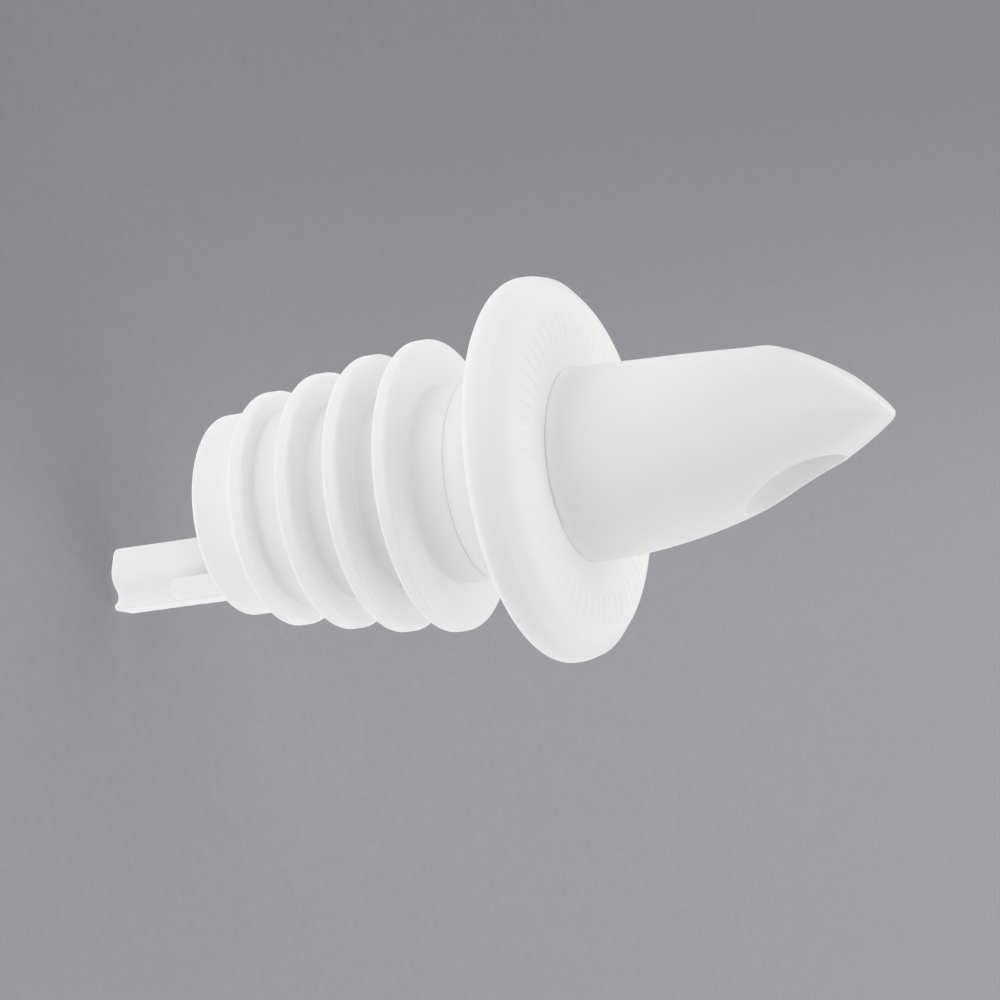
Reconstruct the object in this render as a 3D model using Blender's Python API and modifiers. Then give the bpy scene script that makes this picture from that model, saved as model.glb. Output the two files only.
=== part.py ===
"""Free-flow liquor pour spout: beak spout, collar, finned stopper and breather tube.

Metres, +Z up. The origin is on the spout's axis in the plane of the collar's underside,
where the bottle's lip meets it. +Z runs along the spout to its tip, the pour opening
faces -Y, and the finned stopper hangs down into the bottle's neck.
"""

import math

import bmesh
import bpy
from mathutils import Matrix, Vector

MM = 0.001

SEGMENTS = 48
GAP = 0.3 * MM

# Collar: a round disc with a crowned upper face, and a hub that meets the stopper.
COLLAR_RADIUS = 17.25 * MM
COLLAR_BACK_ROUND = 1.0 * MM
COLLAR_EDGE_HEIGHT = 1.6 * MM
COLLAR_CREASE = (16.95 * MM, 2.75 * MM)
COLLAR_SHOULDER = (15.6 * MM, 4.0 * MM)
COLLAR_CROWN = (12.5 * MM, 4.6 * MM)
COLLAR_TOP = 4.25 * MM
HUB_RADIUS = 9.95 * MM
HUB_BOTTOM = -5.25 * MM
HUB_TAPER_TOP = -4.2 * MM
HUB_TAPER_ROUND = 2.2 * MM
HUB_END_RADIUS = 9.1 * MM

# Stem: the straight tube of the spout, through the collar and the stopper.
STEM_RADIUS = 7.7 * MM
STEM_BORE = 6.5 * MM
STEM_BOTTOM = -30.3 * MM
TONGUE_BOTTOM = -36.3 * MM
TONGUE_HALF_WIDTH = 3.5 * MM
TONGUE_OFFSET = 5.3 * MM
TONGUE_CORNER = 1.1 * MM

# Beak: the part of the spout above the collar.
BEAK_BASE = COLLAR_TOP + GAP
BEAK_RADIUS = 8.7 * MM
BEAK_TIP = 33.15 * MM
BEAK_WALL = 1.8 * MM
TIP_RADIUS = 0.58 * MM
TIP_SLOPE = math.radians(41)
POUR_ARC = 49.7 * MM
NOSE_POWER = 2.0
BACK_OUTLINE = (
    (BEAK_BASE, BEAK_RADIUS),
    (22.3 * MM, 7.92 * MM),
    (25.2 * MM, 7.0 * MM),
    (28.85 * MM, 4.94 * MM),
    (31.3 * MM, 2.8 * MM),
    (BEAK_TIP, 0.88 * MM),
)
# Towards the tip the beak's back half grows from round to boxy, with flatter sides.
BOXY_FROM = 20.0 * MM
BOXY_FULL = 28.5 * MM
BOXY_POWER = 4.0
CAVITY_TOP = 28.6 * MM
CAVITY_DOME = 1.6 * MM
CAVITY_FULL_FROM = 9.0 * MM

# Pour port: an oval opening in the pouring side of the beak.
PORT_HEIGHT = 23.7 * MM
PORT_HALF_LENGTH = 4.65 * MM
PORT_HALF_WIDTH = 3.55 * MM
PORT_WALL = 2.6 * MM
PORT_WALL_FROM = 15.0 * MM
PORT_WALL_FULL = 19.0 * MM

# Stopper: a thin sleeve with fins that seal against the neck.
SLEEVE_TOP = HUB_BOTTOM - GAP
SLEEVE_BOTTOM = -30.6 * MM
SLEEVE_RADIUS = 9.0 * MM
SLEEVE_TOP_RADIUS = 9.1 * MM
SLEEVE_BORE = STEM_RADIUS + GAP
SLEEVE_END_RADIUS = 9.25 * MM
SLEEVE_END_ROUND = 0.6 * MM
FIN_TOP = -9.1 * MM
FIN_PITCH = 5.17 * MM
FIN_RADII = (13.2 * MM, 12.6 * MM, 11.7 * MM, 10.75 * MM)
FIN_THICKNESS = 1.45 * MM
FIN_FILLET = 2.4 * MM
FIN_EDGE = 0.35 * MM
FIN_LIFT = 0.2 * MM

# Breather tube: an air tube on a rail, along the pouring side of the stem's bore.
TUBE_TOP = 14.5 * MM
TUBE_BOTTOM = -43.2 * MM
TUBE_MOUTH_TILT = math.radians(35)
AIR_BORE = 1.2 * MM
AIR_OFFSET = 3.45 * MM
LOBE_TOP = 1.55 * MM
LOBE_TOP_HALF_WIDTH = 1.25 * MM
LOBE_OFFSET = 4.5 * MM
LOBE_HALF_WIDTH = 2.35 * MM
NECK_OFFSET = 6.25 * MM
NECK_HALF_WIDTH = 0.62 * MM
FOOT_OFFSET = 7.05 * MM
FOOT_HALF_WIDTH = 1.95 * MM
FOOT_BOTTOM = 7.45 * MM
FOOT_TOP_END = -27.0 * MM
LOBE_ONLY_OFFSET = 5.4 * MM


def clear_scene():
    for thing in list(bpy.data.objects):
        bpy.data.objects.remove(thing, do_unlink=True)


def new_collection(name):
    collection = bpy.data.collections.new(name)
    bpy.context.scene.collection.children.link(collection)
    return collection


def plastic(name, colour, roughness):
    material = bpy.data.materials.new(name)
    material.use_nodes = True
    shader = material.node_tree.nodes["Principled BSDF"]
    shader.inputs["Base Color"].default_value = (*colour, 1.0)
    shader.inputs["Roughness"].default_value = roughness
    shader.inputs["Metallic"].default_value = 0.0
    return material


def add_object(name, mesh, collection, parent):
    thing = bpy.data.objects.new(name, mesh)
    thing.parent = parent
    collection.objects.link(thing)
    return thing


def make_cutter(thing):
    thing.hide_render = True
    thing.display_type = "WIRE"
    return thing


def subtract(thing, cutter):
    step = thing.modifiers.new(cutter.name, "BOOLEAN")
    step.operation = "DIFFERENCE"
    step.solver = "EXACT"
    step.object = cutter


def smooth(mesh, angle=math.radians(35)):
    mesh.shade_smooth()
    mesh.set_sharp_from_angle(angle=angle)


def rounded(corners, arc_step=math.radians(36)):
    """A closed outline whose corners (x, y, radius) are rounded with arcs."""
    points = []
    for index, (x, y, radius) in enumerate(corners):
        corner = Vector((x, y))
        before = (Vector(corners[index - 1][:2]) - corner).normalized()
        after = (Vector(corners[(index + 1) % len(corners)][:2]) - corner).normalized()
        if radius == 0:
            points.append(corner)
            continue
        half_angle = before.angle(after) / 2
        reach = radius / math.tan(half_angle)
        centre = corner + (before + after).normalized() * radius / math.sin(half_angle)
        start = corner + before * reach - centre
        turn = start.angle_signed(corner + after * reach - centre)
        steps = max(1, math.ceil(abs(turn) / arc_step))
        for number in range(steps + 1):
            spoke = Matrix.Rotation(-turn * number / steps, 2) @ start
            points.append(centre + spoke)
    return points


def turned(name, outline, collection, parent):
    """A ring turned about Z from a closed outline of (radius, height) points."""
    mesh = bpy.data.meshes.new(name)
    points = [(radius, 0, height) for radius, height in outline]
    edges = [(i, (i + 1) % len(points)) for i in range(len(points))]
    mesh.from_pydata(points, edges, [])
    thing = add_object(name, mesh, collection, parent)
    screw = thing.modifiers.new("turn", "SCREW")
    screw.axis = "Z"
    screw.steps = SEGMENTS
    screw.render_steps = SEGMENTS
    screw.use_merge_vertices = True
    screw.merge_threshold = 0.01 * MM
    screw.use_smooth_shade = True
    return thing


def extruded(name, outlines, bottom, top, collection, parent):
    """A prism along Z between two heights; a second outline is a hole in it."""
    curve = bpy.data.curves.new(name, "CURVE")
    curve.dimensions = "2D"
    curve.fill_mode = "BOTH"
    curve.extrude = (top - bottom) / 2
    for outline in outlines:
        spline = curve.splines.new("POLY")
        spline.points.add(len(outline) - 1)
        spline.use_cyclic_u = True
        for point, (x, y) in zip(spline.points, outline):
            point.co = (x, y, 0, 1)
    guide = bpy.data.objects.new(name + "_outline", curve)
    bpy.context.scene.collection.objects.link(guide)
    bpy.context.view_layer.update()
    evaluated = guide.evaluated_get(bpy.context.evaluated_depsgraph_get())
    mesh = bpy.data.meshes.new_from_object(evaluated)
    bpy.data.objects.remove(guide)
    shape = bmesh.new()
    shape.from_mesh(mesh)
    bmesh.ops.remove_doubles(shape, verts=shape.verts, dist=0.001 * MM)
    bmesh.ops.translate(shape, verts=shape.verts, vec=(0, 0, (top + bottom) / 2))
    bmesh.ops.recalc_face_normals(shape, faces=shape.faces)
    shape.to_mesh(mesh)
    shape.free()
    mesh.name = name
    return add_object(name, mesh, collection, parent)


def box(name, low, high, collection, parent):
    low, high = Vector(low), Vector(high)
    shape = bmesh.new()
    bmesh.ops.create_cube(shape, size=1)
    bmesh.ops.scale(shape, verts=shape.verts, vec=high - low)
    bmesh.ops.translate(shape, verts=shape.verts, vec=(low + high) / 2)
    mesh = bpy.data.meshes.new(name)
    shape.to_mesh(mesh)
    shape.free()
    return make_cutter(add_object(name, mesh, collection, parent))


def loft(name, rings, collection, parent):
    """A closed solid through rings of equally many points, capped at both ends."""
    shape = bmesh.new()
    rows = [[shape.verts.new(point) for point in ring] for ring in rings]
    for lower, upper in zip(rows, rows[1:]):
        for i in range(len(lower)):
            j = (i + 1) % len(lower)
            shape.faces.new((lower[i], lower[j], upper[j], upper[i]))
    shape.faces.new(reversed(rows[0]))
    shape.faces.new(rows[-1])
    mesh = bpy.data.meshes.new(name)
    shape.to_mesh(mesh)
    shape.free()
    smooth(mesh)
    return add_object(name, mesh, collection, parent)


def through(points, at):
    """The value at a place on a smooth curve through the points, without overshoot."""
    places = [point[0] for point in points]
    values = [point[1] for point in points]
    slopes = [
        (values[i + 1] - values[i]) / (places[i + 1] - places[i])
        for i in range(len(points) - 1)
    ]
    inner = [
        2 * a * b / (a + b) if a * b > 0 else 0.0 for a, b in zip(slopes, slopes[1:])
    ]
    tangents = [slopes[0], *inner, slopes[-1]]
    i = max(n for n in range(len(slopes)) if n == 0 or places[n] <= at)
    length = places[i + 1] - places[i]
    t = (at - places[i]) / length
    return (
        values[i] * (2 * t**3 - 3 * t**2 + 1)
        + values[i + 1] * (3 * t**2 - 2 * t**3)
        + length * tangents[i] * (t**3 - 2 * t**2 + t)
        + length * tangents[i + 1] * (t**3 - t**2)
    )


def beak_section(height):
    """How far the beak reaches to the back, to the pouring side and sideways."""
    back = through(BACK_OUTLINE, height)
    rise = height - BEAK_BASE
    pour = BEAK_RADIUS - POUR_ARC + math.sqrt(POUR_ARC**2 - rise**2)
    along = rise / (BEAK_TIP - BEAK_BASE)
    side = BEAK_RADIUS * (1 - along**NOSE_POWER) ** (1 / NOSE_POWER)
    return back, pour, side


def ring(height, back, pour, side):
    """A round section, whose back half is boxier near the tip."""
    along = min(1, max(0, (height - BOXY_FROM) / (BOXY_FULL - BOXY_FROM)))
    boxy = 2 / (2 + (BOXY_POWER - 2) * along**2 * (3 - 2 * along))
    middle = (back - pour) / 2
    reach = (back + pour) / 2
    points = []
    for number in range(SEGMENTS):
        angle = 2 * math.pi * number / SEGMENTS
        across, up = math.cos(angle), math.sin(angle)
        if up > 0:
            across, up = math.copysign(abs(across) ** boxy, across), up**boxy
        points.append((side * across, middle + reach * up, height))
    return points


def evenly(start, end, steps):
    return [start + (end - start) * number / steps for number in range(steps + 1)]


def spout_outer(collection, parent):
    rings = [
        ring(TONGUE_BOTTOM, STEM_RADIUS, STEM_RADIUS, STEM_RADIUS),
        ring(BEAK_BASE, STEM_RADIUS, STEM_RADIUS, STEM_RADIUS),
    ]
    tip_start = BEAK_TIP - TIP_RADIUS * (1 - math.sin(TIP_SLOPE))
    heights = evenly(BEAK_BASE, 21.0 * MM, 7) + evenly(22.0 * MM, tip_start, 12)
    for height in heights:
        rings.append(ring(height, *beak_section(height)))
    # The tip is rounded: an arc that leaves the beak's slope and ends level.
    for angle in (math.radians(58), math.radians(74), math.radians(86)):
        height = BEAK_TIP - TIP_RADIUS * (1 - math.sin(angle))
        back, pour, side = beak_section(height)
        middle, half = (back - pour) / 2, TIP_RADIUS * math.cos(angle)
        rings.append(ring(height, middle + half, half - middle, side))
    return loft("pour_spout", rings, collection, parent)


def cavity_section(height):
    """The inside of the beak, whose wall is thicker round the pour port."""
    back, pour, side = beak_section(height)
    rise = (height - PORT_WALL_FROM) / (PORT_WALL_FULL - PORT_WALL_FROM)
    extra = (PORT_WALL - BEAK_WALL) * min(1, max(0, rise))
    return back - BEAK_WALL, pour - BEAK_WALL - extra, side - BEAK_WALL


def spout_cavity(collection, parent):
    below = TONGUE_BOTTOM - 1 * MM
    rings = [ring(below, STEM_BORE, STEM_BORE, STEM_BORE)]
    rings.append(ring(BEAK_BASE, STEM_BORE, STEM_BORE, STEM_BORE))
    dome_start = CAVITY_TOP - CAVITY_DOME
    for height in evenly(CAVITY_FULL_FROM, dome_start, 12):
        rings.append(ring(height, *cavity_section(height)))
    # The cavity closes in a dome under the solid tip.
    back, pour, side = cavity_section(dome_start)
    middle = (back - pour) / 2
    for angle in (math.radians(35), math.radians(65)):
        shrink = math.cos(angle)
        half = (back + pour) / 2 * shrink
        height = dome_start + CAVITY_DOME * math.sin(angle)
        rings.append(ring(height, middle + half, half - middle, side * shrink))
    return make_cutter(loft("spout_cavity", rings, collection, parent))


def port_cutter(collection, parent):
    shape = bmesh.new()
    depth = 12 * MM
    bmesh.ops.create_cone(
        shape, cap_ends=True, segments=40, radius1=1, radius2=1, depth=depth
    )
    bmesh.ops.scale(shape, verts=shape.verts, vec=(PORT_HALF_WIDTH, PORT_HALF_LENGTH, 1))
    bmesh.ops.rotate(shape, verts=shape.verts, matrix=Matrix.Rotation(math.pi / 2, 3, "X"))
    bmesh.ops.translate(shape, verts=shape.verts, vec=(0, -depth / 2, PORT_HEIGHT))
    mesh = bpy.data.meshes.new("port_cutter")
    shape.to_mesh(mesh)
    shape.free()
    return make_cutter(add_object("port_cutter", mesh, collection, parent))


def tongue_cutter(collection, parent):
    """Leaves only a tongue of the stem's wall below the stopper, its corners rounded."""
    reach = STEM_RADIUS + 1 * MM
    outline = rounded(
        (
            (TONGUE_BOTTOM - 2 * MM, reach, 0),
            (STEM_BOTTOM, reach, 0),
            (STEM_BOTTOM, -TONGUE_OFFSET, 0),
            (TONGUE_BOTTOM, -TONGUE_OFFSET, TONGUE_CORNER),
            (TONGUE_BOTTOM, -reach, 0),
            (TONGUE_BOTTOM - 2 * MM, -reach, 0),
        )
    )
    cutter = extruded("tongue_cutter", [outline], -reach, reach, collection, parent)
    # The outline lies in the Z-Y plane: its first coordinate is a height.
    cutter.data.transform(Matrix(((0, 0, 1, 0), (0, 1, 0, 0), (1, 0, 0, 0), (0, 0, 0, 1))))
    cutter.data.flip_normals()
    return make_cutter(cutter)


def make_spout(parts, cutters, parent):
    spout = spout_outer(parts, parent)
    subtract(spout, spout_cavity(cutters, parent))
    subtract(spout, port_cutter(cutters, parent))
    subtract(spout, tongue_cutter(cutters, parent))
    below = TONGUE_BOTTOM - 1 * MM
    for name, side in (("tongue_side_left", -1), ("tongue_side_right", 1)):
        edges = sorted((side * TONGUE_HALF_WIDTH, side * 2 * STEM_RADIUS))
        low = (edges[0], -2 * STEM_RADIUS, below)
        high = (edges[1], 0, STEM_BOTTOM)
        subtract(spout, box(name, low, high, cutters, parent))
    slot = FOOT_HALF_WIDTH + GAP
    low = (-slot, -STEM_RADIUS - 1 * MM, TONGUE_BOTTOM - 1 * MM)
    high = (slot, -STEM_BORE + 1.5 * MM, FOOT_TOP_END + GAP)
    subtract(spout, box("key_slot", low, high, cutters, parent))
    return spout


def make_collar(parts, parent):
    bore = STEM_RADIUS + GAP
    outline = rounded(
        (
            (bore, COLLAR_TOP, 0),
            (BEAK_RADIUS, COLLAR_TOP, 0),
            (*COLLAR_CROWN, 4 * MM),
            (*COLLAR_SHOULDER, 2 * MM),
            (*COLLAR_CREASE, 0),
            (COLLAR_RADIUS, COLLAR_EDGE_HEIGHT, 0.8 * MM),
            (COLLAR_RADIUS, 0, COLLAR_BACK_ROUND),
            (HUB_RADIUS, 0, 0.25 * MM),
            (HUB_RADIUS, HUB_TAPER_TOP, HUB_TAPER_ROUND),
            (HUB_END_RADIUS, HUB_BOTTOM, 0),
            (bore, HUB_BOTTOM, 0),
        )
    )
    return turned("collar", outline, parts, parent)


def make_stopper(parts, parent):
    flare_end = (SLEEVE_TOP + FIN_TOP) / 2
    corners = [
        (SLEEVE_BORE, SLEEVE_TOP, 0),
        (SLEEVE_TOP_RADIUS, SLEEVE_TOP, 0),
        (SLEEVE_RADIUS, flare_end, 4 * MM),
    ]
    for number, radius in enumerate(FIN_RADII):
        top = FIN_TOP - number * FIN_PITCH
        last = number == len(FIN_RADII) - 1
        foot = SLEEVE_END_RADIUS if last else SLEEVE_RADIUS
        corners += [
            (SLEEVE_RADIUS, top, 0),
            (radius, top + FIN_LIFT, FIN_EDGE),
            (radius, top + FIN_LIFT - FIN_THICKNESS, FIN_EDGE),
            (foot, top - FIN_THICKNESS - 0.45 * MM, min(FIN_FILLET, 0.6 * (radius - foot))),
        ]
    corners += [
        (SLEEVE_END_RADIUS, SLEEVE_BOTTOM, SLEEVE_END_ROUND),
        (SLEEVE_BORE, SLEEVE_BOTTOM, 0),
    ]
    return turned("stopper", rounded(corners), parts, parent)


def make_breather_tube(parts, cutters, parent):
    half = (
        (LOBE_TOP_HALF_WIDTH, -LOBE_TOP, 0.55 * MM),
        (LOBE_HALF_WIDTH, -LOBE_OFFSET, 0.9 * MM),
        (NECK_HALF_WIDTH, -NECK_OFFSET, 0.35 * MM),
        (FOOT_HALF_WIDTH, -FOOT_OFFSET, 0.25 * MM),
        (FOOT_HALF_WIDTH - 0.4 * MM, -FOOT_BOTTOM, 0.2 * MM),
    )
    mirrored = [(-x, y, radius) for x, y, radius in reversed(half)]
    outline = rounded([*half, *mirrored])
    steps = 16
    angles = [2 * math.pi * number / steps for number in range(steps)]
    bore = [
        (AIR_BORE * math.cos(angle), AIR_BORE * math.sin(angle) - AIR_OFFSET)
        for angle in angles
    ]
    tube = extruded("breather_tube", [outline, bore], TUBE_BOTTOM, TUBE_TOP, parts, parent)
    smooth(tube.data)
    reach = 2 * STEM_RADIUS
    low = (-reach, -reach, FOOT_TOP_END)
    high = (reach, -LOBE_ONLY_OFFSET, TUBE_TOP + reach)
    subtract(tube, box("foot_end", low, high, cutters, parent))
    # The upper mouth is cut on a slant that opens towards the pour port.
    mouth = box("tube_mouth", (-reach, -reach, 0), (reach, reach, reach), cutters, parent)
    mouth.location = (0, -LOBE_TOP, TUBE_TOP - 0.3 * MM)
    mouth.rotation_euler = (TUBE_MOUTH_TILT, 0, 0)
    subtract(tube, mouth)
    return tube


def main():
    clear_scene()
    parts = new_collection("liquor_pour_spout")
    cutters = new_collection("cutters")
    origin = bpy.data.objects.new("pour_spout_origin", None)
    parts.objects.link(origin)

    spout = make_spout(parts, cutters, origin)
    spout.data.materials.append(plastic("spout_plastic", (0.86, 0.86, 0.86), 0.38))
    collar = make_collar(parts, origin)
    collar.data.materials.append(plastic("collar_plastic", (0.87, 0.87, 0.87), 0.42))
    stopper = make_stopper(parts, origin)
    stopper.data.materials.append(plastic("stopper_plastic", (0.88, 0.88, 0.88), 0.48))
    tube = make_breather_tube(parts, cutters, origin)
    tube.data.materials.append(plastic("tube_plastic", (0.84, 0.84, 0.83), 0.5))


main()
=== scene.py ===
"""Looks of the liquor pour spout: moulded white plastic on a pale studio floor.

Metres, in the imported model's frame: +Z runs along the spout to its tip, the origin is in the
plane of the collar's underside, and the pour port and the breather tube are on the -Y side.
"""

import math

import bmesh
import bpy
from mathutils import Matrix, Vector


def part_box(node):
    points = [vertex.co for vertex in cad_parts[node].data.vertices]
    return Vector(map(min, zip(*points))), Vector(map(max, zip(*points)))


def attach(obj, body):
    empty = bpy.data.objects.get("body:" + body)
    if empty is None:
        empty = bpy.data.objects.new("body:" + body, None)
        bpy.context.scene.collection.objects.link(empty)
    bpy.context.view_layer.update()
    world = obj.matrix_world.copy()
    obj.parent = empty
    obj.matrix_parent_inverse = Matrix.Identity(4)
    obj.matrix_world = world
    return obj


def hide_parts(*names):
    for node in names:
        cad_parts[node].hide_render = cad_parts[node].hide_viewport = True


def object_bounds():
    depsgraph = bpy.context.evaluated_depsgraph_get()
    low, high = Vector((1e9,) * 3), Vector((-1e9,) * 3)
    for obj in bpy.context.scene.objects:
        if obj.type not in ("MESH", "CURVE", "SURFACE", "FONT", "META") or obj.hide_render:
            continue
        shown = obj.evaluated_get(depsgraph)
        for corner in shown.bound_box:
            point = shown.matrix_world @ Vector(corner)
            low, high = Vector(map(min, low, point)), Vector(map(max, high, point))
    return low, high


MM = 0.001

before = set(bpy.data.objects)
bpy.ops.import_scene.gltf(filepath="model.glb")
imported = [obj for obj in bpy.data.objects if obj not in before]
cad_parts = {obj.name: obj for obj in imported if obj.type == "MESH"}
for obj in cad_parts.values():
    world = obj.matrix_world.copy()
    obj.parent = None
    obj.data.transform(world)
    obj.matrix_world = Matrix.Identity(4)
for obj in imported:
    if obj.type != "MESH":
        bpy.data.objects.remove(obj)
CAD_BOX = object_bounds()

# The gap between parts that slide into each other.
CLEARANCE = 0.3 * MM

STEM_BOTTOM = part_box("stopper")[0].z + CLEARANCE
TONGUE_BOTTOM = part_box("pour_spout")[0].z
COLLAR_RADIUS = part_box("collar")[1].x
HUB_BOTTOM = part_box("collar")[0].z
SLEEVE_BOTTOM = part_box("stopper")[0].z
SLEEVE_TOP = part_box("stopper")[1].z
TUBE_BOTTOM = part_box("breather_tube")[0].z

# Collar, as the CAD model has it.
COLLAR_TOP = 4.25 * MM
HUB_RADIUS = 9.95 * MM
HUB_TAPER_TOP = -4.2 * MM
HUB_TAPER_ROUND = 2.2 * MM
HUB_END_RADIUS = 9.1 * MM

# Faint ribs on the collar's face, in a ring round the beak.
RIB_COUNT = 60
RIB_INNER_END = 11.2 * MM
RIB_OUTER_END = 14.4 * MM
RIB_HEIGHT = 0.07 * MM
RIB_HALF_TOP = 0.15 * MM
RIB_HALF_FOOT = 0.35 * MM
RIB_END_SLOPE = 0.4 * MM

# Stem and beak.
STEM_RADIUS = 7.7 * MM
STEM_BORE = 6.5 * MM
TONGUE_OFFSET = 5.3 * MM
TONGUE_HALF_WIDTH = 3.5 * MM
TONGUE_CORNER = 1.1 * MM
TONGUE_ROOT_ROUND = 0.2 * MM
BEAK_BASE = 4.55 * MM
BEAK_RADIUS = 8.7 * MM
BEAK_TIP = 33.15 * MM
BEAK_WALL = 1.8 * MM
TIP_RADIUS = 0.58 * MM
TIP_SLOPE = math.radians(41)
TIP_END = math.radians(88)
POUR_ARC = 49.7 * MM
NOSE_POWER = 2.0
BACK_OUTLINE = (
    (BEAK_BASE, BEAK_RADIUS),
    (22.3 * MM, 7.92 * MM),
    (25.2 * MM, 7.0 * MM),
    (28.85 * MM, 4.94 * MM),
    (31.3 * MM, 2.8 * MM),
    (BEAK_TIP, 0.88 * MM),
)
# Towards the tip the beak's back half grows from round to boxy, with flatter sides.
BOXY_FROM = 20.0 * MM
BOXY_FULL = 28.5 * MM
BOXY_POWER = 4.0
CAVITY_TOP = 28.6 * MM
CAVITY_DOME = 1.6 * MM
CAVITY_DOME_END = math.radians(84)
CAVITY_FULL_FROM = 9.0 * MM

# Pour port.
PORT_HEIGHT = 23.7 * MM
PORT_HALF_LENGTH = 4.65 * MM
PORT_HALF_WIDTH = 3.55 * MM
PORT_ROUND = 0.2 * MM
PORT_TIP_ROUND = 0.3 * MM
PORT_ROUND_START = math.radians(15)
PORT_CUTTER_RISE = 1.5 * MM
PORT_CUTTER_END = -0.3 * MM
PORT_WALL = 2.6 * MM
PORT_WALL_FROM = 15.0 * MM
PORT_WALL_FULL = 19.0 * MM

# Stopper.
SLEEVE_RADIUS = 9.0 * MM
SLEEVE_TOP_RADIUS = 9.1 * MM
SLEEVE_BORE = 8.0 * MM
SLEEVE_END_RADIUS = 9.25 * MM
FIN_TOP = -9.1 * MM
FIN_PITCH = 5.17 * MM
FIN_RADII = (13.2 * MM, 12.6 * MM, 11.7 * MM, 10.75 * MM)
FIN_THICKNESS = 1.45 * MM
FIN_FILLET = 2.4 * MM
FIN_EDGE = 0.35 * MM
FIN_LIFT = 0.2 * MM
FIN_UNDERSIDE_DROP = 0.45 * MM
FIN_ROOT_ROUND = 0.35 * MM

# Breather tube.
TUBE_TOP = 14.5 * MM
AIR_BORE = 1.2 * MM
AIR_OFFSET = 3.45 * MM
FOOT_TOP_END = -27.0 * MM
FOOT_HALF_WIDTH = 1.95 * MM
LOBE_ONLY_OFFSET = 5.4 * MM
MOUTH_SLANT = math.radians(35)
# One side of the tube's outline, as corners of x, y and rounding.
TUBE_SIDE = (
    (1.25 * MM, -1.55 * MM, 1.2 * MM),
    (2.35 * MM, -4.5 * MM, 1.7 * MM),
    (0.62 * MM, -6.25 * MM, 0.7 * MM),
    (FOOT_HALF_WIDTH, -7.05 * MM, 0.25 * MM),
    (FOOT_HALF_WIDTH - 0.4 * MM, -7.45 * MM, 0.2 * MM),
)

# The looks close the gap between the collar's hub and the stopper to a fine seam. The same
# fine seam lies under the beak's foot.
FINE_SEAM = 0.02 * MM
SEAM_REACH = 0.14 * MM

ARC_STEP = math.radians(9)
ROUND_STEPS = 256
RIBBED_STEPS = 720
BORE_STEPS = 96
AIR_BORE_STEPS = 40

# Stage.
FLOOR = CAD_BOX[0].z - 0.5 * MM
FLOOR_HALF_SIZE = 2.0
PAPER_DARK = (0.325, 0.323, 0.347)
PAPER_LIGHT = (0.347, 0.345, 0.371)
PAINTED_SHADE_START = -30 * MM
# Painted shade on the floor: where it starts and ends along +Y, how dark it gets, and how it
# leans with X.
PAINTED_SHADE_END = 60 * MM
PAINTED_SHADE_DEPTH = 0.31
PAINTED_SHADE_LEAN = -0.18

SOFTBOX_DISTANCE = 0.7
SOFTBOX_SIZE = 0.55
# Softboxes round the object: azimuth and elevation in degrees, and power.
SOFTBOXES = (
    (45, 24, 1.03),
    (90, 24, 0.375),
    (135, 24, 0.84),
    (225, 24, 0.55),
    (270, 24, 0.457),
    (315, 24, 0.172),
    (0, 58, 0.427),
    (45, 58, 0.243),
    (180, 58, 0.832),
    (315, 58, 0.122),
    (0, 90, 0.264),
)
# Light that the table throws up: name, place across it, size and power.
TABLE_HEIGHT = FLOOR + 0.1 * MM
TABLE_GLOWS = (
    ("table_glow", (0, 0), 0.5, 0.457),
    ("back_table_glow", (-0.1, 0.12), 0.2, 0.057),
)
HOLLOW_GLOW = 0.00022
HOLLOW_GLOW_PLACE = (0, 1 * MM, 21 * MM)
HOLLOW_GLOW_RADIUS = 2 * MM
STUDIO_GREY = 0.396

CAMERA_AZIMUTH = -80.66
CAMERA_ELEVATION = 23.85
CAMERA_ROLL = math.radians(-81.79)
CAMERA_DISTANCE = 355.3 * MM
CAMERA_AIM = Vector((-1.28, -2.25, -3.69)) * MM
CAMERA_LENS = 144


# ---------------------------------------------------------------- materials


class Nodes:
    """A short way to add nodes to a material and link them."""

    def __init__(self, material):
        self.tree = material.node_tree
        self.shader = self.tree.nodes["Principled BSDF"]

    def add(self, kind, inputs=None, **settings):
        node = self.tree.nodes.new(kind)
        for key, value in settings.items():
            setattr(node, key, value)
        for key, value in (inputs or {}).items():
            if isinstance(value, bpy.types.NodeSocket):
                self.tree.links.new(value, node.inputs[key])
            else:
                node.inputs[key].default_value = value
        return node

    def noise(self, vector, scale, detail=4.0, roughness=0.55, distortion=0.0):
        return self.add(
            "ShaderNodeTexNoise",
            {
                "Vector": vector,
                "Scale": scale,
                "Detail": detail,
                "Roughness": roughness,
                "Distortion": distortion,
            },
        ).outputs["Fac"]

    def spread(self, value, low, high, to_low, to_high):
        return self.add(
            "ShaderNodeMapRange",
            {0: value, 1: low, 2: high, 3: to_low, 4: to_high},
        ).outputs[0]

    def math(self, operation, a, b=0.0):
        return self.add("ShaderNodeMath", {0: a, 1: b}, operation=operation).outputs[0]

    def mix_colour(self, factor, a, b):
        node = self.add("ShaderNodeMix", data_type="RGBA")
        for name, value in (("A", a), ("B", b)):
            socket = next(s for s in node.inputs if s.name == name and s.type == "RGBA")
            if isinstance(value, bpy.types.NodeSocket):
                self.tree.links.new(value, socket)
            else:
                socket.default_value = (*value, 1.0)
        self.tree.links.new(factor, node.inputs[0])
        return next(s for s in node.outputs if s.type == "RGBA")

    def to(self, name, socket):
        self.tree.links.new(socket, self.shader.inputs[name])


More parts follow.
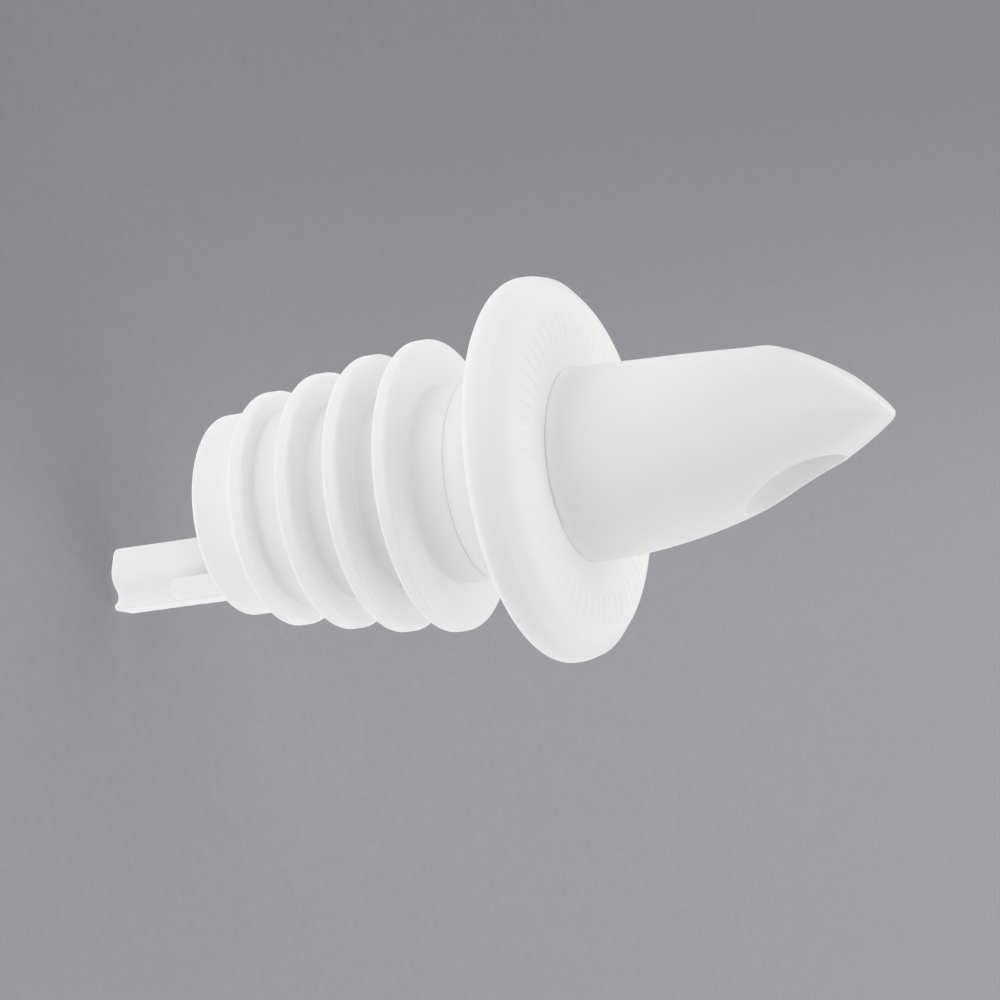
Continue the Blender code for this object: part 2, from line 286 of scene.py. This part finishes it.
def moulded_plastic(name, white, roughness, grain, scuffs, mottle, scatter, clearness):
    """White polyethylene: faint cloudiness, fine grain, a few scuffs and specks."""
    material = bpy.data.materials.new(name)
    material.use_nodes = True
    n = Nodes(material)
    place = n.add("ShaderNodeTexCoord").outputs["Object"]

    # Cloudy tone, as in a natural white moulding.
    cloud = n.noise(place, 130.0, 3.0, 0.5)
    tone = n.spread(cloud, 0.35, 0.65, 0.0, 1.0)
    shade = tuple(part * (1.0 - mottle) for part in white)
    base = n.mix_colour(tone, shade, white)

    # Specks of dust and small dents, sparse and tiny.
    specks = n.noise(place, 1500.0, 2.0, 0.6)
    speck = n.spread(specks, 0.73, 0.78, 0.0, 0.35)
    base = n.mix_colour(speck, base, tuple(part * 0.8 for part in white))
    n.to("Base Color", base)

    # Scuffs: short streaks where the surface has rubbed.
    along = n.add("ShaderNodeMapping", {"Vector": place, "Scale": (1.0, 1.0, 0.22)}).outputs[0]
    streaks = n.noise(along, 2600.0, 3.0, 0.6, 0.4)
    rubbed = n.noise(place, 95.0, 2.0, 0.5)
    where = n.spread(rubbed, 0.56, 0.66, 0.0, 1.0)
    streak = n.math("MULTIPLY", n.spread(streaks, 0.6, 0.7, 0.0, 1.0), where)

    patch = n.noise(place, 420.0, 4.0, 0.6)
    rough = n.spread(patch, 0.3, 0.7, roughness - 0.05, roughness + 0.06)
    rough = n.math("ADD", rough, n.math("MULTIPLY", streak, 0.12))
    n.to("Roughness", rough)

    fine = n.noise(place, 5200.0, 3.0, 0.6)
    waves = n.noise(place, 260.0, 2.0, 0.5)
    height = n.math("ADD", n.math("MULTIPLY", fine, grain), n.math("MULTIPLY", waves, 0.5))
    height = n.math("SUBTRACT", height, n.math("MULTIPLY", streak, scuffs))
    bump = n.add("ShaderNodeBump", {"Strength": 0.5, "Distance": 0.00006, "Height": height})
    n.to("Normal", bump.outputs[0])

    shader = n.shader
    shader.inputs["Metallic"].default_value = 0.0
    shader.inputs["IOR"].default_value = 1.5
    shader.inputs["Specular IOR Level"].default_value = 0.35
    shader.inputs["Subsurface Weight"].default_value = clearness
    shader.inputs["Subsurface Radius"].default_value = (1.0, 0.97, 0.93)
    shader.inputs["Subsurface Scale"].default_value = scatter
    return material


def floor_paper():
    """Matt grey paper with a faint fibre, and painted shade that darkens it behind the object.
    """
    material = bpy.data.materials.new("floor_paper")
    material.use_nodes = True
    n = Nodes(material)
    place = n.add("ShaderNodeTexCoord").outputs["Object"]
    fibre = n.noise(place, 900.0, 4.0, 0.6)
    grey = n.spread(fibre, 0.3, 0.7, 0.0, 1.0)
    paper = n.mix_colour(grey, PAPER_DARK, PAPER_LIGHT)
    # Painted shade: the paper is painted a little darker behind the object, towards +Y and
    # slightly towards -X, standing in for light that falls off there.
    apart = n.add("ShaderNodeSeparateXYZ", {"Vector": place})
    lean = n.math("MULTIPLY", apart.outputs["X"], PAINTED_SHADE_LEAN)
    behind = n.math("ADD", apart.outputs["Y"], lean)
    shade = n.add(
        "ShaderNodeMapRange",
        {0: behind, 1: PAINTED_SHADE_START, 2: PAINTED_SHADE_END, 3: 0.0, 4: PAINTED_SHADE_DEPTH},
        interpolation_type="SMOOTHSTEP",
    ).outputs[0]
    n.to("Base Color", n.mix_colour(shade, paper, (0.0, 0.0, 0.0)))
    bump = n.add("ShaderNodeBump", {"Strength": 0.15, "Distance": 0.0001, "Height": fibre})
    n.to("Normal", bump.outputs[0])
    n.shader.inputs["Roughness"].default_value = 0.85
    return material


# ------------------------------------------------------------- mesh helpers


def add_piece(name, mesh, material):
    piece = bpy.data.objects.new(name, mesh)
    bpy.context.scene.collection.objects.link(piece)
    mesh.materials.clear()
    mesh.materials.append(material)
    return piece


def smooth(mesh, degrees):
    """Smooth shading, with a sharp edge wherever faces meet at more than the angle."""
    mesh.shade_smooth()
    mesh.set_sharp_from_angle(angle=math.radians(degrees))


def rounded(corners):
    """A closed outline whose corners (x, y, radius) are rounded with arcs."""
    points = []
    for index, (x, y, radius) in enumerate(corners):
        corner = Vector((x, y))
        before = (Vector(corners[index - 1][:2]) - corner).normalized()
        after = (Vector(corners[(index + 1) % len(corners)][:2]) - corner).normalized()
        if radius == 0:
            points.append(corner)
            continue
        half_angle = before.angle(after) / 2
        reach = radius / math.tan(half_angle)
        centre = corner + (before + after).normalized() * radius / math.sin(half_angle)
        start = corner + before * reach - centre
        turn = start.angle_signed(corner + after * reach - centre)
        steps = max(1, math.ceil(abs(turn) / ARC_STEP))
        for number in range(steps + 1):
            spoke = Matrix.Rotation(-turn * number / steps, 2) @ start
            points.append(centre + spoke)
    return points


def subdivided(points, longest):
    """A closed outline with extra points wherever two are further apart than longest."""
    finer = []
    for index, point in enumerate(points):
        after = points[(index + 1) % len(points)]
        steps = max(1, math.ceil((after - point).length / longest))
        finer += [point.lerp(after, number / steps) for number in range(steps)]
    return finer


def mesh_of_rings(name, rings, closed_along=False, caps=False):
    """A skin through rings of equally many points, listed from low to high on the outside."""
    shape = bmesh.new()
    rows = [[shape.verts.new(point) for point in ring] for ring in rings]
    pairs = list(zip(rows, rows[1:]))
    if closed_along:
        pairs.append((rows[-1], rows[0]))
    for lower, upper in pairs:
        for i in range(len(lower)):
            j = (i + 1) % len(lower)
            shape.faces.new((lower[i], lower[j], upper[j], upper[i]))
    if caps:
        shape.faces.new(reversed(rows[0]))
        shape.faces.new(rows[-1])
    mesh = bpy.data.meshes.new(name)
    shape.to_mesh(mesh)
    shape.free()
    return mesh


def turned_mesh(name, outline, steps=ROUND_STEPS, shift=None):
    """A ring turned about Z; the outline of (radius, height) runs down its outer side."""
    rings = []
    for radius, height in reversed(outline):
        ring = []
        for number in range(steps):
            angle = 2 * math.pi * number / steps
            r, z = (radius, height) if shift is None else shift(radius, height, angle)
            ring.append((r * math.cos(angle), r * math.sin(angle), z))
        rings.append(ring)
    return mesh_of_rings(name, rings, closed_along=True)


def cut(piece, mesh):
    """Takes the mesh out of the piece."""
    cutter = bpy.data.objects.new("cutter", mesh)
    bpy.context.scene.collection.objects.link(cutter)
    step = piece.modifiers.new("cut", "BOOLEAN")
    step.operation = "DIFFERENCE"
    step.solver = "EXACT"
    step.object = cutter
    apply_modifiers(piece)
    bpy.data.objects.remove(cutter)


def apply_modifiers(piece):
    bpy.context.view_layer.update()
    evaluated = piece.evaluated_get(bpy.context.evaluated_depsgraph_get())
    mesh = bpy.data.meshes.new_from_object(evaluated)
    piece.modifiers.clear()
    piece.data = mesh


def box_mesh(low, high):
    low, high = Vector(low), Vector(high)
    shape = bmesh.new()
    bmesh.ops.create_cube(shape, size=1)
    bmesh.ops.scale(shape, verts=shape.verts, vec=high - low)
    bmesh.ops.translate(shape, verts=shape.verts, vec=(low + high) / 2)
    mesh = bpy.data.meshes.new("box")
    shape.to_mesh(mesh)
    shape.free()
    return mesh


def prism_mesh(outline, bottom, top, axis="Z"):
    """A solid prism through an outline; on axis X the outline is (height, y)."""
    shape = bmesh.new()
    lower = [shape.verts.new((x, y, bottom)) for x, y in outline]
    upper = [shape.verts.new((x, y, top)) for x, y in outline]
    for i in range(len(outline)):
        j = (i + 1) % len(outline)
        shape.faces.new((lower[i], lower[j], upper[j], upper[i]))
    shape.faces.new(reversed(lower))
    shape.faces.new(upper)
    if axis == "X":
        swap = Matrix(((0, 0, 1), (0, 1, 0), (1, 0, 0)))
        bmesh.ops.transform(shape, matrix=swap.to_4x4(), verts=shape.verts)
    bmesh.ops.recalc_face_normals(shape, faces=shape.faces)
    mesh = bpy.data.meshes.new("prism")
    shape.to_mesh(mesh)
    shape.free()
    return mesh


def evenly(start, end, steps):
    return [start + (end - start) * number / steps for number in range(steps + 1)]


def smoothly(value, low, high):
    """0 up to low, 1 from high on, and a soft step in between."""
    t = min(1.0, max(0.0, (value - low) / (high - low)))
    return t * t * (3 - 2 * t)


# ------------------------------------------------------------------- spout


def through(points, at):
    """The value at a place on a smooth curve through the points, without overshoot."""
    places = [point[0] for point in points]
    values = [point[1] for point in points]
    slopes = [
        (values[i + 1] - values[i]) / (places[i + 1] - places[i])
        for i in range(len(points) - 1)
    ]
    inner = [
        2 * a * b / (a + b) if a * b > 0 else 0.0 for a, b in zip(slopes, slopes[1:])
    ]
    tangents = [slopes[0], *inner, slopes[-1]]
    i = max(n for n in range(len(slopes)) if n == 0 or places[n] <= at)
    length = places[i + 1] - places[i]
    t = (at - places[i]) / length
    return (
        values[i] * (2 * t**3 - 3 * t**2 + 1)
        + values[i + 1] * (3 * t**2 - 2 * t**3)
        + length * tangents[i] * (t**3 - 2 * t**2 + t)
        + length * tangents[i + 1] * (t**3 - t**2)
    )


def beak_section(height):
    """How far the beak reaches to the back, to the pouring side and sideways."""
    height = max(height, BEAK_BASE)
    back = through(BACK_OUTLINE, height)
    rise = height - BEAK_BASE
    pour = BEAK_RADIUS - POUR_ARC + math.sqrt(POUR_ARC**2 - rise**2)
    along = min(1.0, rise / (BEAK_TIP - BEAK_BASE))
    side = BEAK_RADIUS * (1 - along**NOSE_POWER) ** (1 / NOSE_POWER)
    return back, pour, side


def section_ring(height, back, pour, side, steps):
    """A round section, whose back half is boxier near the tip."""
    boxy = 2 / (2 + (BOXY_POWER - 2) * smoothly(height, BOXY_FROM, BOXY_FULL))
    middle = (back - pour) / 2
    reach = (back + pour) / 2
    ring = []
    for number in range(steps):
        angle = 2 * math.pi * number / steps
        across, up = math.cos(angle), math.sin(angle)
        if up > 0:
            across, up = math.copysign(abs(across) ** boxy, across), up**boxy
        ring.append((side * across, middle + reach * up, height))
    return ring


def dome_rings(height, rise, section, steps, levels=8):
    """Rings that close a section with a dome of the given rise."""
    middle = (section[0] - section[1]) / 2
    half = (section[0] + section[1]) / 2
    rings = []
    for level in range(1, levels + 1):
        angle = CAVITY_DOME_END * level / levels
        shrink = math.cos(angle)
        back, pour = middle + half * shrink, half * shrink - middle
        rings.append(
            section_ring(
                height + rise * math.sin(angle), back, pour, section[2] * shrink, steps
            )
        )
    return rings


def spout_skin(steps):
    """The outside of the spout from the tongue's end to the tip."""
    foot = COLLAR_TOP + FINE_SEAM
    rings = [section_ring(z, *[STEM_RADIUS] * 3, steps) for z in (TONGUE_BOTTOM, foot)]
    tip_start = BEAK_TIP - TIP_RADIUS * (1 - math.sin(TIP_SLOPE))
    for height in (foot, *evenly(foot + 0.3 * MM, tip_start, 90)):
        rings.append(section_ring(height, *beak_section(height), steps))
    for angle in evenly(TIP_SLOPE, TIP_END, 12)[1:]:
        height = BEAK_TIP - TIP_RADIUS * (1 - math.sin(angle))
        back, pour, side = beak_section(height)
        middle, half = (back - pour) / 2, TIP_RADIUS * math.cos(angle)
        rings.append(section_ring(height, middle + half, half - middle, side, steps))
    return mesh_of_rings("pour_spout_body", rings, caps=True)


def cavity_section(height):
    """The inside of the beak, whose wall is thicker round the pour port."""
    back, pour, side = beak_section(height)
    rise = (height - PORT_WALL_FROM) / (PORT_WALL_FULL - PORT_WALL_FROM)
    extra = (PORT_WALL - BEAK_WALL) * min(1, max(0, rise))
    return back - BEAK_WALL, pour - BEAK_WALL - extra, side - BEAK_WALL


def spout_bore(steps):
    """The inside: the stem's straight bore, which opens out into the beak."""
    straight = [STEM_BORE] * 3
    dome_start = CAVITY_TOP - CAVITY_DOME
    rings = [
        section_ring(z, *straight, steps) for z in (TONGUE_BOTTOM - 1 * MM, BEAK_BASE)
    ]
    for height in evenly(CAVITY_FULL_FROM, dome_start, 40):
        rings.append(section_ring(height, *cavity_section(height), steps))
    rings += dome_rings(dome_start, CAVITY_DOME, cavity_section(dome_start), steps)
    return mesh_of_rings("bore", rings, caps=True)


def pour_side(x, height):
    """The Y of the beak's pouring side at a place across it."""
    back, pour, side = beak_section(height)
    across = min(0.98, abs(x) / side)
    return (back - pour) / 2 - (back + pour) / 2 * math.sqrt(1 - across**2)


def port_cutter(steps=144):
    """An oval cutter whose mouth flares in a quarter round, which is widest towards the tip."""
    arc = evenly(PORT_ROUND_START, math.pi / 2, 7)
    rings = []
    for level in range(-1, len(arc)):
        ring = []
        for number in range(steps):
            angle = 2 * math.pi * number / steps
            towards_tip = max(0.0, math.sin(angle)) ** 3
            radius = PORT_ROUND + (PORT_TIP_ROUND - PORT_ROUND) * towards_tip
            turn = arc[max(level, 0)]
            spread, depth = radius * (1 - math.sin(turn)), radius * (1 - math.cos(turn))
            if level < 0:
                spread, depth = 3 * spread, -PORT_CUTTER_RISE
            x = (PORT_HALF_WIDTH + spread) * math.cos(angle)
            z = PORT_HEIGHT + (PORT_HALF_LENGTH + spread) * math.sin(angle)
            ring.append((x, pour_side(x, z) + depth, z))
        rings.append(ring)
    deepest = [(x, PORT_CUTTER_END, z) for x, _, z in rings[-1]]
    return mesh_of_rings("port", [deepest, *reversed(rings)], caps=True)


def tongue_cutter():
    """Cuts the stem's end away, apart from the tongue on the pouring side."""
    reach = STEM_RADIUS + 1 * MM
    outline = rounded(
        (
            (TONGUE_BOTTOM - 2 * MM, reach, 0),
            (STEM_BOTTOM, reach, 0),
            (STEM_BOTTOM, -TONGUE_OFFSET, TONGUE_ROOT_ROUND),
            (TONGUE_BOTTOM, -TONGUE_OFFSET, TONGUE_CORNER),
            (TONGUE_BOTTOM, -reach, 0),
            (TONGUE_BOTTOM - 2 * MM, -reach, 0),
        )
    )
    return prism_mesh(outline, -reach, reach, axis="X")


def make_spout(material):
    steps = 192
    spout = add_piece("pour_spout_body", spout_skin(steps), material)
    cut(spout, spout_bore(BORE_STEPS))
    cut(spout, port_cutter())
    cut(spout, tongue_cutter())
    for side in (-1, 1):
        edges = sorted((side * TONGUE_HALF_WIDTH, side * 2 * STEM_RADIUS))
        low = (edges[0], -2 * STEM_RADIUS, TONGUE_BOTTOM - 1 * MM)
        cut(spout, box_mesh(low, (edges[1], 0, STEM_BOTTOM)))
    slot = FOOT_HALF_WIDTH + CLEARANCE
    low = (-slot, -STEM_RADIUS - 1 * MM, TONGUE_BOTTOM - 1 * MM)
    high = (slot, -STEM_BORE + 1.5 * MM, FOOT_TOP_END + CLEARANCE)
    cut(spout, box_mesh(low, high))
    smooth(spout.data, 32)
    return spout


# ------------------------------------------------------------------ collar


COLLAR_FACE = (
    (BEAK_RADIUS, COLLAR_TOP, 0),
    (12.5 * MM, 4.6 * MM, 4 * MM),
    (15.6 * MM, 4.0 * MM, 2 * MM),
    (16.95 * MM, 2.75 * MM, 0.3 * MM),
    (COLLAR_RADIUS, 1.6 * MM, 2 * MM),
)


def raised_ribs(radius, height, angle):
    """Lifts the collar's face in faint, evenly spaced ribs on a ring round the beak."""
    pitch = 2 * math.pi / RIB_COUNT
    across = abs(angle / pitch - round(angle / pitch)) * pitch * radius
    from_end = min(radius - RIB_INNER_END, RIB_OUTER_END - radius)
    on_face = height > COLLAR_TOP - 0.5 * MM
    lift = 0.0
    if on_face and from_end > 0:
        flank = 1 - smoothly(across, RIB_HALF_TOP, RIB_HALF_FOOT)
        lift = RIB_HEIGHT * flank * smoothly(from_end, 0, RIB_END_SLOPE)
    return radius, height + lift


def make_collar(material):
    bore = STEM_RADIUS + CLEARANCE
    corners = (
        (bore, COLLAR_TOP, 0.2 * MM),
        *COLLAR_FACE,
        (COLLAR_RADIUS, 0, 1.0 * MM),
        (HUB_RADIUS, 0, 0.35 * MM),
        (HUB_RADIUS, HUB_TAPER_TOP, HUB_TAPER_ROUND),
        (HUB_END_RADIUS, HUB_BOTTOM - SEAM_REACH, 0),
        (bore, HUB_BOTTOM - SEAM_REACH, 0),
    )
    outline = subdivided(rounded(corners), 0.4 * MM)
    steps = RIBBED_STEPS
    mesh = turned_mesh("collar_disc", outline, steps, raised_ribs)
    smooth(mesh, 40)
    return add_piece("collar_disc", mesh, material)


# ----------------------------------------------------------------- stopper


def make_stopper(material):
    sleeve_end = SLEEVE_TOP + SEAM_REACH
    corners = [
        (SLEEVE_BORE, sleeve_end, 0.15 * MM),
        (SLEEVE_TOP_RADIUS, sleeve_end, 0),
        (SLEEVE_RADIUS, (SLEEVE_TOP + FIN_TOP) / 2, 4 * MM),
    ]
    for number, radius in enumerate(FIN_RADII):
        top = FIN_TOP - number * FIN_PITCH
        last = number == len(FIN_RADII) - 1
        foot = SLEEVE_END_RADIUS if last else SLEEVE_RADIUS
        under = top - FIN_THICKNESS - FIN_UNDERSIDE_DROP
        corners += [
            (SLEEVE_RADIUS, top, FIN_ROOT_ROUND),
            (radius, top + FIN_LIFT, FIN_EDGE),
            (radius, top + FIN_LIFT - FIN_THICKNESS, FIN_EDGE),
            (foot, under, min(FIN_FILLET, 0.6 * (radius - foot))),
        ]
    corners += [
        (SLEEVE_END_RADIUS, SLEEVE_BOTTOM, 0.6 * MM),
        (SLEEVE_BORE, SLEEVE_BOTTOM, 0.2 * MM),
    ]
    outline = subdivided(rounded(corners), 0.5 * MM)
    mesh = turned_mesh("stopper_sleeve", outline)
    smooth(mesh, 40)
    return add_piece("stopper_sleeve", mesh, material)


# ----------------------------------------------------------- breather tube


def make_tube(material):
    """The breather tube: a lobe with the air bore, and a key-shaped foot at its lower end."""
    mirrored = [(-x, y, radius) for x, y, radius in reversed(TUBE_SIDE)]
    outline = rounded([*TUBE_SIDE, *mirrored])
    tube = add_piece("air_tube", prism_mesh(outline, TUBE_BOTTOM, TUBE_TOP), material)
    bore = []
    for number in range(AIR_BORE_STEPS):
        angle = 2 * math.pi * number / AIR_BORE_STEPS
        bore.append((AIR_BORE * math.cos(angle), AIR_BORE * math.sin(angle) - AIR_OFFSET))
    cut(tube, prism_mesh(bore, TUBE_BOTTOM - 1 * MM, TUBE_TOP + 1 * MM))
    reach = 2 * STEM_RADIUS
    low = (-reach, -reach, FOOT_TOP_END)
    high = (reach, -LOBE_ONLY_OFFSET, TUBE_TOP + reach)
    cut(tube, box_mesh(low, high))
    mouth = box_mesh((-reach, -reach, 0), (reach, reach, reach))
    slant = Matrix.Rotation(MOUTH_SLANT, 4, "X")
    mouth.transform(Matrix.Translation((0, -1.55 * MM, TUBE_TOP - 0.3 * MM)) @ slant)
    cut(tube, mouth)
    smooth(tube.data, 35)
    return tube


# ------------------------------------------------------------------- stage


def add_floor(material):
    shape = bmesh.new()
    bmesh.ops.create_grid(shape, x_segments=8, y_segments=8, size=FLOOR_HALF_SIZE)
    bmesh.ops.translate(shape, verts=shape.verts, vec=(0, 0, FLOOR))
    mesh = bpy.data.meshes.new("studio_floor")
    shape.to_mesh(mesh)
    shape.free()
    floor = add_piece("studio_floor", mesh, material)


def toward(azimuth, elevation):
    """The direction of a place round the object: azimuth 0 is at -Y and 90 at +X, in degrees."""
    azimuth, elevation = math.radians(azimuth), math.radians(elevation)
    level = math.cos(elevation)
    return Vector((math.sin(azimuth) * level, -math.cos(azimuth) * level, math.sin(elevation)))


def add_softbox(name, position, direction, size, power):
    """A round softbox that shines along the direction and isn't seen itself."""
    data = bpy.data.lights.new(name, "AREA")
    data.shape = "DISK"
    data.size = size
    data.energy = power
    lamp = bpy.data.objects.new(name, data)
    lamp.location = position
    lamp.rotation_mode = "QUATERNION"
    lamp.rotation_quaternion = direction.to_track_quat("-Z", "Y")
    lamp.visible_camera = False
    bpy.context.scene.collection.objects.link(lamp)


def add_lights():
    """Large softboxes in two rings and overhead, and the glow of the table under the object."""
    middle = Vector((0, 0, -5 * MM))
    for azimuth, elevation, power in SOFTBOXES:
        place = toward(azimuth, elevation)
        position = middle + SOFTBOX_DISTANCE * place
        name = f"softbox_{azimuth}_{elevation}"
        add_softbox(name, position, -place, SOFTBOX_SIZE, power)
    for name, (x, y), size, power in TABLE_GLOWS:
        add_softbox(name, Vector((x, y, TABLE_HEIGHT)), Vector((0, 0, 1)), size, power)

    # Light that the real, translucent wall lets into the beak's hollow.
    inner = bpy.data.lights.new("beak_hollow_glow", "POINT")
    inner.energy = HOLLOW_GLOW
    inner.shadow_soft_size = HOLLOW_GLOW_RADIUS
    glow = bpy.data.objects.new("beak_hollow_glow", inner)
    glow.location = HOLLOW_GLOW_PLACE
    glow.visible_camera = False
    bpy.context.scene.collection.objects.link(glow)

    world = bpy.data.worlds.new("studio")
    world.use_nodes = True
    background = world.node_tree.nodes["Background"]
    background.inputs["Color"].default_value = (1.0, 1.0, 1.0, 1.0)
    background.inputs["Strength"].default_value = STUDIO_GREY
    bpy.context.scene.world = world


def add_camera():
    """A long lens from beside and above, rolled so that the spout lies across the view."""
    back = toward(CAMERA_AZIMUTH, CAMERA_ELEVATION)
    level = (-back).cross(Vector((0, 0, 1))).normalized()
    upright = level.cross(-back)
    up = upright * math.cos(CAMERA_ROLL) + level * math.sin(CAMERA_ROLL)
    across = (-back).cross(up)
    data = bpy.data.cameras.new("camera")
    data.lens = CAMERA_LENS
    data.sensor_width = 36
    data.clip_start = 0.01
    data.clip_end = 20
    camera = bpy.data.objects.new("camera", data)
    place = Matrix.Translation(CAMERA_AIM + back * CAMERA_DISTANCE)
    turn = Matrix((across, up, back)).transposed().to_4x4()
    camera.matrix_world = place @ turn
    bpy.context.scene.collection.objects.link(camera)
    bpy.context.scene.camera = camera


def main():
    bpy.context.scene.view_settings.view_transform = "Standard"
    add_camera()
    add_lights()
    add_floor(floor_paper())

    spout_white = moulded_plastic(
        "spout_plastic",
        white=(0.932, 0.93, 0.926),
        roughness=0.5,
        grain=0.12,
        scuffs=0.5,
        mottle=0.02,
        scatter=0.35 * MM,
        clearness=0.4,
    )
    collar_white = moulded_plastic(
        "collar_plastic",
        white=(0.932, 0.93, 0.928),
        roughness=0.5,
        grain=0.12,
        scuffs=0.4,
        mottle=0.02,
        scatter=0.3 * MM,
        clearness=0.5,
    )
    stopper_white = moulded_plastic(
        "stopper_plastic",
        white=(0.942, 0.94, 0.936),
        roughness=0.55,
        grain=0.15,
        scuffs=0.4,
        mottle=0.025,
        scatter=0.3 * MM,
        clearness=0.5,
    )
    tube_white = moulded_plastic(
        "tube_plastic",
        white=(0.962, 0.96, 0.957),
        roughness=0.6,
        grain=0.5,
        scuffs=0.6,
        mottle=0.035,
        scatter=0.3 * MM,
        clearness=0.5,
    )

    spout = make_spout(spout_white)
    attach(spout, "spout")
    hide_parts("pour_spout")

    collar = make_collar(collar_white)
    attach(collar, "spout")
    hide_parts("collar")

    stopper = make_stopper(stopper_white)
    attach(stopper, "stopper")
    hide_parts("stopper")

    tube = make_tube(tube_white)
    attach(tube, "spout")
    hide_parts("breather_tube")


main()
